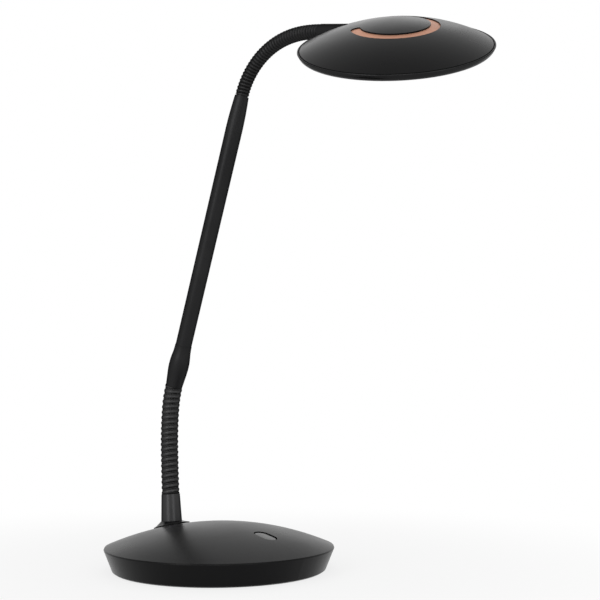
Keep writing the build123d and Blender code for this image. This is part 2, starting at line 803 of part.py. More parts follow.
with BuildPart() as head_cavity:
    with BuildSketch(side_of(head)):
        with BuildLine():
            rim, crown = dome_curve(cavity_crown)
            Polyline(crown, (0, -head_lip), (skirt_r, -head_lip), rim)
        make_face()
    revolve(axis=axis_of(head))
    # what is cut away here stays standing in the shell: the thick crown under the inlay, and bosses
    thick_r = inlay_outer_r + head_skin
    bar(head, 2 * thick_r, dome_height(thick_r, head_dome) - head_skin - inlay_t, head_crown, Mode.SUBTRACT)
    with BuildSketch(head.offset(bezel_top + slip_clear)):
        with bezel_screw_spots():
            Circle(bezel_boss_d / 2)
    extrude(amount=head_crown, mode=Mode.SUBTRACT)
    with BuildSketch(head.offset(back_plate_top)):
        with plate_screw_spots():
            Circle(plate_boss_d / 2)
    extrude(amount=head_crown, mode=Mode.SUBTRACT)

# the space the shell may fill: under the crown, above the bezel, the light's stack and its plate
with BuildPart() as head_envelope:
    with BuildSketch(side_of(head)):
        with BuildLine():
            rim, crown = dome_curve(head_dome)
            Polyline(
                crown,
                (0, back_plate_top + slip_clear),
                (back_plate_d / 2 + slip_clear, back_plate_top + slip_clear),
                (back_plate_d / 2 + slip_clear, back_plate_z + slip_clear),
                (rebate_r, back_plate_z + slip_clear),
                (rebate_r, bezel_top + slip_clear),
                (bezel_wall_r - slip_clear, bezel_top + slip_clear),
                (bezel_wall_r - slip_clear, 0),
                rim,
            )
        make_face()
    revolve(axis=axis_of(head))

with BuildPart() as ferrule_seat:
    bar(swivel, trough_d + 2 * channel_wall, -head_rim_r / 2, hub_start + channel_wall)
    bar(swivel, hub_d, hub_start, hub_end)
    add(head_envelope.part, mode=Mode.INTERSECT)

inlay_groove = crown_band(inlay_w + 2 * seat_clear, -inlay_t, groove_depth, inlay_sweep)

with BuildPart() as head_shell:
    with BuildSketch(side_of(head)):
        with BuildLine():
            rim, crown = dome_curve(head_dome)
            Polyline(
                crown,
                (0, -head_skirt_h),
                (bezel_wall_r - slip_clear, -head_skirt_h),
                (bezel_wall_r - slip_clear, 0),
                rim,
            )
        make_face()
    revolve(axis=axis_of(head))
    add(head_cavity.part, mode=Mode.SUBTRACT)
    with BuildSketch(head.offset(bezel_top + slip_clear)):
        with bezel_screw_spots():
            Circle(bezel_boss_d / 2)
    extrude(amount=head_skirt_h)
    with BuildSketch(head.offset(back_plate_top)):
        with plate_screw_spots():
            Circle(plate_boss_d / 2)
    extrude(amount=head_skirt_h)
    add(ferrule_seat.part)
    open_trough()
    bar(swivel, spigot_d + 2 * swivel_clear, 0, hub_end + fit_clear, Mode.SUBTRACT)
    bar(swivel, clip_d + 2 * fit_clear, hub_end, spigot_end + fit_clear, Mode.SUBTRACT)
    add(inlay_groove, mode=Mode.SUBTRACT)
    with BuildSketch(head.offset(bezel_top)):
        with bezel_screw_spots():
            Circle(bezel_screw_d / 2 + thread_clear)
    extrude(amount=bezel_screw_l - bezel_t + fit_clear, mode=Mode.SUBTRACT)
    with BuildSketch(head.offset(back_plate_top)):
        with plate_screw_spots():
            Circle(plate_screw_d / 2 + thread_clear)
    extrude(amount=plate_screw_l, mode=Mode.SUBTRACT)
keep(head_shell.part, "head_shell")

copper_inlay = crown_band(inlay_w, inlay_set, inlay_set + inlay_t, inlay_sweep)
keep(copper_inlay, "copper_inlay")

with BuildPart() as head_bezel:
    with BuildSketch(side_of(head)):
        with BuildLine():
            edge = (head_rim_r - head_lip_set, -slip_clear)
            base = (head_lip_r, -head_lip)
            bulge = (
                (edge[0] + base[0] + bezel_bulge * math.sqrt(2)) / 2,
                (edge[1] + base[1] - bezel_bulge * math.sqrt(2)) / 2,
            )
            ThreePointArc(edge, bulge, base)
            Polyline(
                base,
                (window_r, -head_lip),
                (window_r, diffuser_z),
                (rebate_r, diffuser_z),
                (rebate_r, bezel_top),
                (bezel_wall_r, bezel_top),
                (bezel_wall_r, -slip_clear),
                edge,
            )
        make_face()
    revolve(axis=axis_of(head))
    open_trough()
    with Locations(Plane(origin=head.origin - head.z_dir * head_lip, x_dir=head.x_dir, z_dir=-head.z_dir)):
        with bezel_screw_spots():
            CounterBoreHole(
                radius=bezel_screw_d / 2 + slip_clear,
                counter_bore_radius=bezel_screw_d + slip_clear,
                counter_bore_depth=screw_head_t + slip_clear,
                depth=bezel_t,
            )
keep(head_bezel.part, "head_bezel")

with BuildPart() as bezel_screws:
    with BuildSketch(head.offset(slip_clear - head_lip)):
        with bezel_screw_spots():
            Circle(bezel_screw_d)
    extrude(amount=screw_head_t)
    with BuildSketch(head.offset(slip_clear - head_lip + screw_head_t)):
        with bezel_screw_spots():
            Circle(bezel_screw_d / 2)
    extrude(amount=bezel_screw_l - screw_head_t)
keep(bezel_screws.part, "bezel_screws")

with BuildPart() as diffuser:
    bar(head, guide_d, diffuser_z, guide_z)
keep(diffuser.part, "diffuser")

with BuildPart() as light_guide:
    bar(head, guide_d, guide_z, reflector_z)
keep(light_guide.part, "light_guide")

with BuildPart() as reflector_sheet:
    bar(head, guide_d, reflector_z, back_plate_z)
keep(reflector_sheet.part, "reflector_sheet")

with BuildPart() as led_strip:
    bar(head, strip_d, diffuser_z, reflector_z)
    bar(head, strip_d - 2 * strip_t, diffuser_z, reflector_z, Mode.SUBTRACT)
keep(led_strip.part, "led_strip")

with BuildPart() as led_chips:
    chip_r = strip_d / 2 - strip_t - slip_clear - led_size[0] / 2
    with BuildSketch(head.offset(guide_z)):
        with PolarLocations(chip_r, led_count):
            Rectangle(led_size[0], led_size[1])
    extrude(amount=led_size[2])
keep(led_chips.part, "led_chips")

with BuildPart() as back_plate:
    bar(head, back_plate_d, back_plate_z, back_plate_top)
    plate_face = head.origin + head.z_dir * back_plate_z
    with Locations(Plane(origin=plate_face, x_dir=head.x_dir, z_dir=-head.z_dir)):
        with plate_screw_spots():
            CounterSinkHole(
                radius=plate_screw_d / 2 + slip_clear,
                counter_sink_radius=plate_screw_d / 2 + slip_clear + back_plate_t,
                depth=back_plate_t,
                counter_sink_angle=90,
            )
keep(back_plate.part, "back_plate")

with BuildPart() as plate_screws:
    with BuildSketch(head.offset(back_plate_z)):
        with plate_screw_spots():
            Circle(plate_screw_d / 2 + back_plate_t)
    extrude(amount=back_plate_t, taper=45)
    with BuildSketch(head.offset(back_plate_z)):
        with plate_screw_spots():
            Circle(plate_screw_d / 2)
    extrude(amount=plate_screw_l)
keep(plate_screws.part, "plate_screws")
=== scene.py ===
"""Dresses a gooseneck desk lamp: coil skins, moulded and coated finishes, and a plain studio."""

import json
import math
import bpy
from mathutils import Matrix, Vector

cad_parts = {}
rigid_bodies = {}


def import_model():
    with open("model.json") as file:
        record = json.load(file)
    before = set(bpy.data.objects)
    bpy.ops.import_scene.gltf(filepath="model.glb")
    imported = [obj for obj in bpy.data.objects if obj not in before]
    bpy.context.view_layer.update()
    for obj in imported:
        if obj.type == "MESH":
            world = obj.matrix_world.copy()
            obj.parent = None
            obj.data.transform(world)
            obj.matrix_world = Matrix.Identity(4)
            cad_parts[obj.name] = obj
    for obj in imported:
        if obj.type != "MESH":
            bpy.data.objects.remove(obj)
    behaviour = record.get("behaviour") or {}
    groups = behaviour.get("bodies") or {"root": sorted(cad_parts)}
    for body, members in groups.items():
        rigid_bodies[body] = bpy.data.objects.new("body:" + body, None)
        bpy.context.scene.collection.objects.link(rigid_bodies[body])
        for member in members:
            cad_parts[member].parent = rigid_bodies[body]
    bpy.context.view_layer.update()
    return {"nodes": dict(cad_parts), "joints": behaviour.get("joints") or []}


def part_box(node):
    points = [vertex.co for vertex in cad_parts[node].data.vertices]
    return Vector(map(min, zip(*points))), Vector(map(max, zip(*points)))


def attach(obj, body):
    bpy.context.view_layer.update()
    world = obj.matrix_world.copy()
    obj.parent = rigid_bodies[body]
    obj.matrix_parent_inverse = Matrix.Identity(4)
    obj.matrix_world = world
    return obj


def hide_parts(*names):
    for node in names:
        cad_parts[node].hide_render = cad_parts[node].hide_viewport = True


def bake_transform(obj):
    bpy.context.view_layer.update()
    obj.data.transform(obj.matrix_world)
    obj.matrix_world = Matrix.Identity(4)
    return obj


bl_info = {
    "name": "Gooseneck desk lamp",
    "version": (1, 0, 0),
    "blender": (4, 5, 0),
    "location": "3D View > Sidebar > Lamp",
    "description": "Builds the lamp's visible pieces and finishes on its fixed frame",
    "category": "Object",
}

import bmesh
import bpy
import numpy as np
from bpy.props import FloatProperty, FloatVectorProperty, IntProperty, PointerProperty
from mathutils import Vector

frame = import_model()

MM = 0.001


# ---------------------------------------------------------------- settings
class LampSizes(bpy.types.PropertyGroup):
    """Sizes a user would change, in metres"""

    lower_crest: FloatProperty(
        name="Lower crest",
        description="Radius over the lower coil's turns",
        default=7.3 * MM,
        unit="LENGTH",
    )
    lower_root: FloatProperty(
        name="Lower root",
        description="Radius in the lower coil's grooves",
        default=6.6 * MM,
        unit="LENGTH",
    )
    upper_crest: FloatProperty(
        name="Upper crest",
        description="Radius over the upper coil's turns",
        default=5.55 * MM,
        unit="LENGTH",
    )
    upper_root: FloatProperty(
        name="Upper root",
        description="Radius in the upper coil's grooves",
        default=4.95 * MM,
        unit="LENGTH",
    )
    lower_gap: FloatProperty(
        name="Lower gap",
        description="From a lower joint to the face that it meets",
        default=0.876 * MM,
        unit="LENGTH",
    )
    upper_gap: FloatProperty(
        name="Upper gap",
        description="From an upper joint to the face that it meets",
        default=0.54 * MM,
        unit="LENGTH",
    )
    turns_per_link: IntProperty(
        name="Turns per link",
        description="Turns of coil between two joints of a neck",
        default=4,
        min=1,
    )
    coil_wall: FloatProperty(
        name="Coil wall",
        description="Thickness of a coil skin under its grooves",
        default=0.5 * MM,
        unit="LENGTH",
    )
    flare_foot: FloatProperty(
        name="Collar foot",
        description="Radius of the stem's collar on the dome",
        default=14.8 * MM,
        unit="LENGTH",
    )
    flare_top: FloatProperty(
        name="Collar top",
        description="Radius of the stem's collar under its socket",
        default=9.05 * MM,
        unit="LENGTH",
    )
    flare_stand: FloatProperty(
        name="Collar lip",
        description="Height of the stem's collar over the dome at its edge",
        default=1.3 * MM,
        unit="LENGTH",
    )
    flare_height: FloatProperty(
        name="Collar height",
        description="Height of the stem's collar",
        default=3.8 * MM,
        unit="LENGTH",
    )
    socket_top: FloatProperty(
        name="Socket top",
        description="First neck joint above the dome",
        default=27.0 * MM,
        unit="LENGTH",
    )
    rim_radius: FloatProperty(
        name="Rim radius",
        description="Where the base's dome would meet its wall",
        default=90.0 * MM,
        unit="LENGTH",
    )
    dome_rise: FloatProperty(
        name="Dome rise",
        description="Height of the base's dome over its rim",
        default=18.1 * MM,
        unit="LENGTH",
    )
    head_rim: FloatProperty(
        name="Head rim",
        description="Radius of the head's edge",
        default=69.85 * MM,
        unit="LENGTH",
    )
    window_depth: FloatProperty(
        name="Window depth",
        description="From the head's rim plane to the middle of its window",
        default=3.55 * MM,
        unit="LENGTH",
    )


class LampColours(bpy.types.PropertyGroup):
    """Colours a user would change, as linear red, green and blue"""

    shell: FloatVectorProperty(
        name="Shell",
        description="Moulded base and head",
        subtype="COLOR",
        default=(0.0028, 0.0028, 0.003),
    )
    coat: FloatVectorProperty(
        name="Coat",
        description="Coated stem, arm and couplers",
        subtype="COLOR",
        default=(0.022, 0.022, 0.0225),
    )
    coil: FloatVectorProperty(
        name="Coil",
        description="Blackened coil of the necks",
        subtype="COLOR",
        default=(0.036, 0.036, 0.0365),
    )
    inlay: FloatVectorProperty(
        name="Inlay",
        description="Copper-toned ring in the head",
        subtype="COLOR",
        default=(0.5, 0.255, 0.17),
    )
    floor: FloatVectorProperty(
        name="Floor",
        description="Studio floor",
        subtype="COLOR",
        default=(0.93, 0.93, 0.93),
    )


def sizes():
    return bpy.context.scene.lamp_sizes


def colours():
    return bpy.context.scene.lamp_colours


# ---------------------------------------------------------------- mesh helpers
WELD = 1e-7  # points this close become one


def unit(vectors):
    """Vectors divided by their lengths."""
    vectors = np.asarray(vectors, float)
    return vectors / np.linalg.norm(vectors, axis=-1, keepdims=True)


def circle(count):
    """Equal angles once round, from 0."""
    return np.linspace(0, 2 * np.pi, count, endpoint=False)


def spokes(angle, first, second):
    """Directions at angles from the first axis towards the second: first x cos + second x sin."""
    return np.cos(angle)[:, None] * first + np.sin(angle)[:, None] * second


def grid_faces(rows, columns, close_rows, close_columns):
    """Four-cornered faces between a grid's neighbouring points; rows or columns may close up."""
    r = np.arange(rows if close_rows else rows - 1)
    c = np.arange(columns if close_columns else columns - 1)
    r, c = np.meshgrid(r, c, indexing="ij")
    r_next = (r + 1) % rows
    c_next = (c + 1) % columns
    corners = ((r, c), (r, c_next), (r_next, c_next), (r_next, c))
    return np.stack([row * columns + column for row, column in corners], -1).reshape(-1, 4)


def surface(
    name, points, material, close_rows=False, close_columns=True, sharp=40.0, copies=1, **values
):
    """A mesh object from a grid of points of shape (rows, columns, 3); values are per point.

    With copies, the grid's rows are that many separate grids of equal height, one after another.
    A mesh whose columns close is turned to face outwards by the sign of the volume it encloses,
    the sum of a x (b x c + c x d) over its faces. Edges sharper than the angle stay sharp.
    """
    rows, columns = points.shape[:2]
    faces = grid_faces(rows // copies, columns, close_rows, close_columns)
    faces = np.concatenate([faces + copy * (rows // copies) * columns for copy in range(copies)])
    a, b, c, d = np.moveaxis(points.reshape(-1, 3)[faces], 1, 0)
    volume = (a * (np.cross(b, c) + np.cross(c, d))).sum()
    if close_columns and volume < 0:
        faces = faces[:, ::-1]
    mesh = bpy.data.meshes.new(name)
    mesh.from_pydata(points.reshape(-1, 3), [], faces.tolist())
    mesh.polygons.foreach_set("use_smooth", np.ones(len(mesh.polygons), bool))
    for key, value in values.items():
        attribute = mesh.attributes.new(key, "FLOAT", "POINT")
        spread = np.broadcast_to(value, (rows, columns)).astype(np.float32)
        attribute.data.foreach_set("value", spread.ravel())
    work = bmesh.new()
    work.from_mesh(mesh)
    bmesh.ops.remove_doubles(work, verts=work.verts, dist=WELD)
    work.to_mesh(mesh)
    work.free()
    mesh.update()
    mesh.set_sharp_from_angle(angle=math.radians(sharp))
    piece = bpy.data.objects.new(name, mesh)
    bpy.context.scene.collection.objects.link(piece)
    piece.data.materials.append(material)
    return piece


def turned(name, origin, axis, profile, material, segments=96, close_rows=True, **options):
    """A profile of (radius, height) points carried once round an axis.

    Each point is origin + height x axis + radius x spoke.
    """
    axis = unit(axis)
    side = unit(np.cross(axis, (0.0, 1.0, 0.0) if abs(axis[1]) < 0.9 else (1.0, 0.0, 0.0)))
    spoke = spokes(circle(segments), side, np.cross(axis, side))
    profile = np.asarray(profile, float)[:, None]
    points = np.asarray(origin, float) + profile[..., 1:] * axis + profile[..., :1] * spoke
    return surface(name, points, material, close_rows=close_rows, **options)


def node_points(node):
    """A CAD node's vertices as an array."""
    mesh = frame["nodes"][node].data
    flat = np.empty(len(mesh.vertices) * 3)
    mesh.vertices.foreach_get("co", flat)
    return flat.reshape(-1, 3)


def thin_axis(points):
    """Unit axis of a flat set of points: the direction in which they spread least."""
    return np.linalg.eigh(np.cov((points - points.mean(0)).T))[1][:, 0]


# ---------------------------------------------------------------- neck centrelines
STRAIGHT = 1e-6  # radians under which an arc counts as straight


def chain(prefix):
    """Joint origins of one neck, from its foot up, and the bodies that meet at each."""
    joints = [j for j in frame["joints"] if j["name"].startswith(prefix)]
    points = np.array([j["pos_m"] for j in joints])
    return points, [(j["parent"], j["child"]) for j in joints]


def tangents_from(points, known, at_end):
    """Unit tangents at points joined by circular arcs: each mirrors the last in the chord."""
    order = range(len(points) - 1)
    tangents = np.zeros_like(points)
    tangents[-1 if at_end else 0] = known
    for step in reversed(order) if at_end else order:
        chord = unit(points[step + 1] - points[step])
        here = tangents[step + 1 if at_end else step]
        tangents[step if at_end else step + 1] = 2 * np.dot(chord, here) * chord - here
    return tangents


def arcs(points, tangents):
    """Bend and length of each circular arc between points, and the distances of all the points.

    Length = chord x (bend / 2) / sin(bend / 2).
    """
    chords = np.linalg.norm(np.diff(points, axis=0), axis=1)
    bends = np.arccos(np.clip((tangents[:-1] * tangents[1:]).sum(1), -1, 1))
    swell = bends / 2 / np.sin(np.maximum(bends, STRAIGHT) / 2)
    lengths = chords * np.where(bends > STRAIGHT, swell, 1)
    return bends, lengths, np.concatenate([[0], np.cumsum(lengths)])


def along(points, tangents, distance):
    """Positions, tangents and inward normals at distances along the arcs, straight past the ends.

    In an arc, position = start + (tangent x sin(turn) + inward x (1 - cos(turn))) / curve, where
    curve = bend / length and turn = curve x distance from the arc's start.
    """
    bends, lengths, starts = arcs(points, tangents)
    arc = np.clip(np.searchsorted(starts, distance, side="right") - 1, 0, len(lengths) - 1)
    inside = np.clip(distance - starts[arc], 0, lengths[arc])
    beyond = distance - starts[arc] - inside
    start = tangents[arc]
    inward = unit(tangents[arc + 1] - start * (tangents[arc + 1] * start).sum(1)[:, None])
    curve = bends[arc] / lengths[arc]
    turn = curve * inside
    ahead = np.sin(turn) / curve
    aside = (1 - np.cos(turn)) / curve
    tangent = start * np.cos(turn)[:, None] + inward * np.sin(turn)[:, None]
    normal = inward * np.cos(turn)[:, None] - start * np.sin(turn)[:, None]
    position = points[arc] + start * ahead[:, None] + inward * aside[:, None]
    return position + tangent * beyond[:, None], tangent, normal


# ---------------------------------------------------------------- shader helpers
def node_tree(name):
    """A new material with its node tree and its main shader."""
    material = bpy.data.materials.new(name)
    material.use_nodes = True
    tree = material.node_tree
    return material, tree, tree.nodes["Principled BSDF"]


def fill(tree, node, inputs):
    """Set a node's inputs by name or number, each to a value or from another node's socket."""
    for key, value in inputs.items():
        if isinstance(value, bpy.types.NodeSocket):
            tree.links.new(value, node.inputs[key])
        else:
            node.inputs[key].default_value = value


def place(tree, kind, inputs=None, **attributes):
    """A new shader node with its attributes and inputs set."""
    node = tree.nodes.new(kind)
    for key, value in attributes.items():
        setattr(node, key, value)
    fill(tree, node, inputs or {})
    return node


def calculated(tree, operation, *values):
    """The result of a math node."""
    return place(tree, "ShaderNodeMath", dict(enumerate(values)), operation=operation).outputs[0]


def noise(tree, vector, scale, detail):
    """Noise about 0.5, of a scale in waves to the metre."""
    inputs = {"Vector": vector, "Scale": scale, "Detail": detail}
    return place(tree, "ShaderNodeTexNoise", inputs).outputs["Fac"]


def stretched(tree, value, low=0.0, high=1.0, to_low=0.0, to_high=1.0, **attributes):
    """A value carried from one range to another, and held at its ends."""
    inputs = {"Value": value, "From Min": low, "From Max": high}
    inputs |= {"To Min": to_low, "To Max": to_high}
    return place(tree, "ShaderNodeMapRange", inputs, **attributes).outputs["Result"]


def mixed(tree, factor, first, second, data_type="RGBA"):
    """The mix of two colours or values."""
    inputs = {"Factor": factor, "A": first, "B": second}
    return place(tree, "ShaderNodeMix", inputs, data_type=data_type).outputs["Result"]


def relief(tree, height, strength):
    """The normal of a surface raised by a height of 0.2 mm times its strength."""
    inputs = {"Height": height, "Strength": strength, "Distance": 0.2 * MM}
    return place(tree, "ShaderNodeBump", inputs).outputs["Normal"]


def object_vector(tree):
    """A piece's own coordinates."""
    return tree.nodes.new("ShaderNodeTexCoord").outputs["Object"]


def shade(colour, factor):
    """A colour times a factor, with full alpha."""
    return tuple(c * factor for c in colour[:3]) + (1,)


def group(name, inputs, outputs):
    """A new shader node group with named sockets; inputs give a kind and a default."""
    tree = bpy.data.node_groups.new(name, "ShaderNodeTree")
    for label, (kind, default) in inputs.items():
        socket = tree.interface.new_socket(name=label, in_out="INPUT", socket_type=kind)
        if default is not None:
            socket.default_value = default
    for label in outputs:
        tree.interface.new_socket(name=label, in_out="OUTPUT", socket_type="NodeSocketFloat")
    return tree, tree.nodes.new("NodeGroupInput").outputs, tree.nodes.new("NodeGroupOutput")


def grain_group():
    """Moulded or sprayed grain: a height for the bump, and a slow drift of tone and gloss.

    Height = fine noise + half of a coarser noise. Drift = a noise 40 mm across, stretched to 0..1.
    """
    name = "Surface grain"
    if name in bpy.data.node_groups:
        return bpy.data.node_groups[name]
    inputs = {"Vector": ("NodeSocketVector", None), "Scale": ("NodeSocketFloat", 1500.0)}
    tree, given, result = group(name, inputs, ["Height", "Drift"])
    vector, scale = given["Vector"], given["Scale"]
    coarse = noise(tree, vector, calculated(tree, "MULTIPLY", scale, 0.37), 1.0)
    height = calculated(
        tree, "ADD", noise(tree, vector, scale, 2.0), calculated(tree, "MULTIPLY", coarse, 0.5)
    )
    drift = stretched(tree, noise(tree, vector, 24.0, 3.0), 0.32, 0.68)
    fill(tree, result, {"Height": height, "Drift": drift})
    return tree


def dust_group():
    """Settled dust: a mask that gathers where the surface faces up, broken by noise."""
    name = "Settled dust"
    if name in bpy.data.node_groups:
        return bpy.data.node_groups[name]
    inputs = {"Vector": ("NodeSocketVector", None), "Amount": ("NodeSocketFloat", 0.05)}
    tree, given, result = group(name, inputs, ["Mask"])
    normal = tree.nodes.new("ShaderNodeNewGeometry").outputs["Normal"]
    upward = place(tree, "ShaderNodeSeparateXYZ", {"Vector": normal}).outputs["Z"]
    facing = stretched(tree, upward, 0.5, 1.0)
    specks = stretched(tree, noise(tree, given["Vector"], 900.0, 4.0), 0.45, 0.75)
    settled = calculated(tree, "MULTIPLY", facing, specks)
    fill(tree, result, {"Mask": calculated(tree, "MULTIPLY", settled, given["Amount"])})
    return tree


# ---------------------------------------------------------------- finishes
DRIFT = 0.14  # share by which a coat's tone drifts either way
DUST_COLOUR = (0.32, 0.31, 0.30, 1)
NECKS = {"lower_": ("blackened coil", 1.0), "upper_": ("blackened fine coil", 0.6)}  # name, tone
COIL_GRAIN, COIL_BUMP, COIL_EDGE = 2200.0, 0.25, 0.25
# painted light: the grooves get a darker tone as painted shade, the crests a lighter one as a
# painted highlight
GROOVE_SHADE_TONE, CREST_HIGHLIGHT_TONE = 1.1, 1.4
GROOVE_ROUGH, CREST_ROUGH = 0.52, 0.4
CREST_HIGHLIGHT_FROM = 0.55  # height on a turn at which the painted crest highlight and the smoother gloss start


def coated(
    name,
    colour,
    roughness,
    grain,
    bump,
    spread=0.06,
    dust=0.0,
    metallic=0.0,
    specular=0.1,
    edge=1.0,
):
    """A moulded or coated finish, made once and then shared by its name.

    Its colour and roughness drift slowly, the roughness over the spread, under a fine grain and
    settled dust. Edge is the tone of what it mirrors at a grazing angle: a low one keeps the
    outline of a metallic coat dark.
    """
    if name in bpy.data.materials:
        return bpy.data.materials[name]
    material, tree, shader = node_tree(name)
    vector = object_vector(tree)
    inputs = {"Vector": vector, "Scale": grain}
    grained = place(tree, "ShaderNodeGroup", inputs, node_tree=grain_group()).outputs
    inputs = {"Vector": vector, "Amount": dust}
    settled = place(tree, "ShaderNodeGroup", inputs, node_tree=dust_group()).outputs
    tone = mixed(tree, grained["Drift"], shade(colour, 1 - DRIFT), shade(colour, 1 + DRIFT))
    low, high = roughness - spread / 2, roughness + spread / 2
    inputs = {
        "Base Color": mixed(tree, settled["Mask"], tone, DUST_COLOUR),
        "Roughness": stretched(tree, grained["Drift"], to_low=low, to_high=high),
        "Normal": relief(tree, grained["Height"], bump),
        "Metallic": metallic,
        "Specular IOR Level": specular,
        "Specular Tint": (edge, edge, edge, 1),
    }
    fill(tree, shader, inputs)
    return material


def neck_finish(prefix):
    """Blackened coil of one neck: crests painted brighter as a highlight and made smoother, grooves
    painted darker as shade and duller.
    """
    name, tone_by = NECKS[prefix]
    if name in bpy.data.materials:
        return bpy.data.materials[name]
    material, tree, shader = node_tree(name)
    crest = place(tree, "ShaderNodeAttribute", attribute_name="crest").outputs["Fac"]
    inputs = {"Vector": object_vector(tree), "Scale": COIL_GRAIN}
    grained = place(tree, "ShaderNodeGroup", inputs, node_tree=grain_group()).outputs
    crest_highlight_and_polish = stretched(tree, crest, CREST_HIGHLIGHT_FROM, 1.0)
    # painted highlight on the crests, broken by the slow drift of tone
    painted_crest_highlight = calculated(tree, "MULTIPLY", crest_highlight_and_polish, grained["Drift"])
    colour = shade(colours().coil, tone_by)
    inputs = {
        "Base Color": mixed(tree, painted_crest_highlight, shade(colour, GROOVE_SHADE_TONE), shade(colour, CREST_HIGHLIGHT_TONE)),
        "Roughness": stretched(tree, crest_highlight_and_polish, to_low=GROOVE_ROUGH, to_high=CREST_ROUGH),
        "Normal": relief(tree, grained["Height"], COIL_BUMP),
        "Metallic": 1.0,
        "Specular IOR Level": 0.1,
        "Specular Tint": (COIL_EDGE, COIL_EDGE, COIL_EDGE, 1),
    }
    fill(tree, shader, inputs)
    return material


def shell_finish():
    return coated("moulded black", colours().shell, 0.3, 1700.0, 0.1, dust=0.005)


def coat_finish():
    look = {"spread": 0.08, "metallic": 1.0, "edge": 0.4}
    return coated("coated black", colours().coat, 0.42, 1100.0, 0.10, **look)


def stem_finish():
    satin = shade(colours().coat, 1.9)
    return coated("satin black", satin, 0.32, 1100.0, 0.06, metallic=1.0, edge=0.35)


def trim_finish():
    look = {"spread": 0.03, "metallic": 1.0, "edge": 0.6}
    return coated("glossy black", (0.02, 0.02, 0.0205), 0.26, 300.0, 0.02, **look)


# Painted shadow: a near-black finish that barely reflects, for the ring that stands in for the
# shadow gap under the head's dome.
def shadow_gap_finish():
    return coated("gasket rubber", (0.002, 0.002, 0.002), 0.9, 900.0, 0.1, specular=0.02)


def button_finish():
    look = {"spread": 0.03, "specular": 0.5}
    return coated("button gloss", (0.012, 0.012, 0.013), 0.22, 300.0, 0.02, **look)


def zinc_finish():
    return coated("zinc plate", (0.42, 0.42, 0.43), 0.3, 1400.0, 0.1, metallic=1.0)


# ---------------------------------------------------------------- goosenecks
WIRE_SHARE, WIRE_ROUND = 0.76, 2.6  # of a turn's pitch, and the power that rounds the wire
RIDGE_AT, RIDGE_SHARE, RIDGE_HEIGHT = 0.79, 0.18, 0.55  # of a turn's pitch and of its height
TURN_ROWS, TURN_COLUMNS = 20, 64  # points along and round one turn
STIFF_COILS = ("upper_coil_1", "upper_coil_9")  # cut at their joint, each half on its own body
STIFF_SLIT = 0.35 * MM  # left clear on each side of that joint
TURNED_COILS = ("upper_coil_3",)  # listed apart, but baked in place like the other stretches
BALL_SINK, BALL_BORE = 0.15 * MM, 1.6 * MM  # inside the coil's grooves
BALL_REACH = 35  # degrees of the ball's zone to each side of its middle


def bead_height(share):
    """Height of the coil's outline over one turn, 0 to 1: a broad round wire, then a thin ridge.

    Wire = 1 - |2 u - 1|^2.6 and ridge = 0.55 x (1 - (2 v - 1)^2), over their own shares u and v.
    """
    wire = 1 - np.clip(np.abs(2 * share / WIRE_SHARE - 1), 0, 1) ** WIRE_ROUND
    ridge = 1 - np.clip(np.abs(2 * (share - RIDGE_AT) / RIDGE_SHARE - 1), 0, 1) ** 2
    return np.maximum(wire, RIDGE_HEIGHT * ridge)


def coil_tube(name, points, tangents, span, crest_r, root_r, pitch, material):
    """One stretch of coil between two distances along a neck's arcs, with the middles of its ends.

    Its radius is root + (crest - root) x bead(f), where f is the fractional part of
    distance / pitch - angle / full turn, so the turns climb as a helix. A plain bore closes it.
    """
    rows = max(int(round((span[1] - span[0]) / pitch * TURN_ROWS)), 4) + 1
    distance = np.linspace(span[0], span[1], rows)
    position, tangent, normal = along(points, tangents, distance)
    angle = circle(TURN_COLUMNS)
    spoke = spokes(angle, normal[:, None], np.cross(tangent, normal)[:, None])
    turn = distance[:, None] / pitch - angle / (2 * np.pi)
    bead = bead_height(turn % 1.0)
    outer = position[:, None] + spoke * (root_r + (crest_r - root_r) * bead)[..., None]
    inner = (position[:, None] + spoke * (root_r - sizes().coil_wall))[::-1]
    crest = np.concatenate([bead, np.zeros_like(bead)])
    grid = np.concatenate([outer, inner])
    piece = surface(name, grid, material, close_rows=True, sharp=55.0, crest=crest)
    return piece, position[0], position[-1]


def joint_ball(name, origin, axis, root_r, material):
    """A zone of a ball about a joint, which fills the wedge that opens as a cut coil bends."""
    radius, bore = root_r - BALL_SINK, root_r - BALL_BORE
    turn = np.radians(np.linspace(-BALL_REACH, BALL_REACH, 15))
    outline = [(radius * math.cos(t), radius * math.sin(t)) for t in turn]
    outline += [(bore, radius * math.sin(turn[-1])), (bore, radius * math.sin(turn[0]))]
    return turned(name, origin, axis, outline, material, segments=64)


def coil_neck(prefix, crest_r, root_r, gap, known, at_end):
    """A neck's coil, cut half way along each link so that each stretch spans one joint.

    A stiff stretch is cut at its joint too, unless a half would be shorter than the slit.
    """
    points, pairs = chain(prefix)
    tangents = tangents_from(points, known, at_end)
    starts = arcs(points, tangents)[2]
    link = starts[1]
    pitch = link / sizes().turns_per_link
    material = neck_finish(prefix)
    for number, (below, above) in enumerate(pairs):
        name = f"{prefix}coil_{number + 1}"
        joint = starts[number]
        low = joint - link / 2 if number else -gap
        high = joint + link / 2 if number < len(pairs) - 1 else starts[-1] + gap
        stiff = name in STIFF_COILS
        spans = {name: (low, high)}
        if stiff:
            spans = {name + "a": (low, joint - STIFF_SLIT), name + "b": (joint + STIFF_SLIT, high)}
        for part, (label, span) in enumerate(spans.items()):
            if span[1] - span[0] < STIFF_SLIT:
                continue
            piece, foot, head = coil_tube(
                label, points, tangents, span, crest_r, root_r, pitch, material
            )
            if stiff:
                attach(piece, (below, above)[part])
            elif name in TURNED_COILS:
                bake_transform(piece)
            else:
                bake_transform(piece)
            if number and not part:
                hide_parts(below.replace("_link_", "_neck_link_"))
        if stiff:
            label = name.replace("coil", "ball")
            ball = joint_ball(label, points[number], tangents[number], root_r, material)
            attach(ball, above)


def arm_direction():
    """The straight arm runs from the lower neck's last joint to the upper neck's first."""
    lower, upper = chain("lower_")[0], chain("upper_")[0]
    return unit(upper[0] - lower[-1])


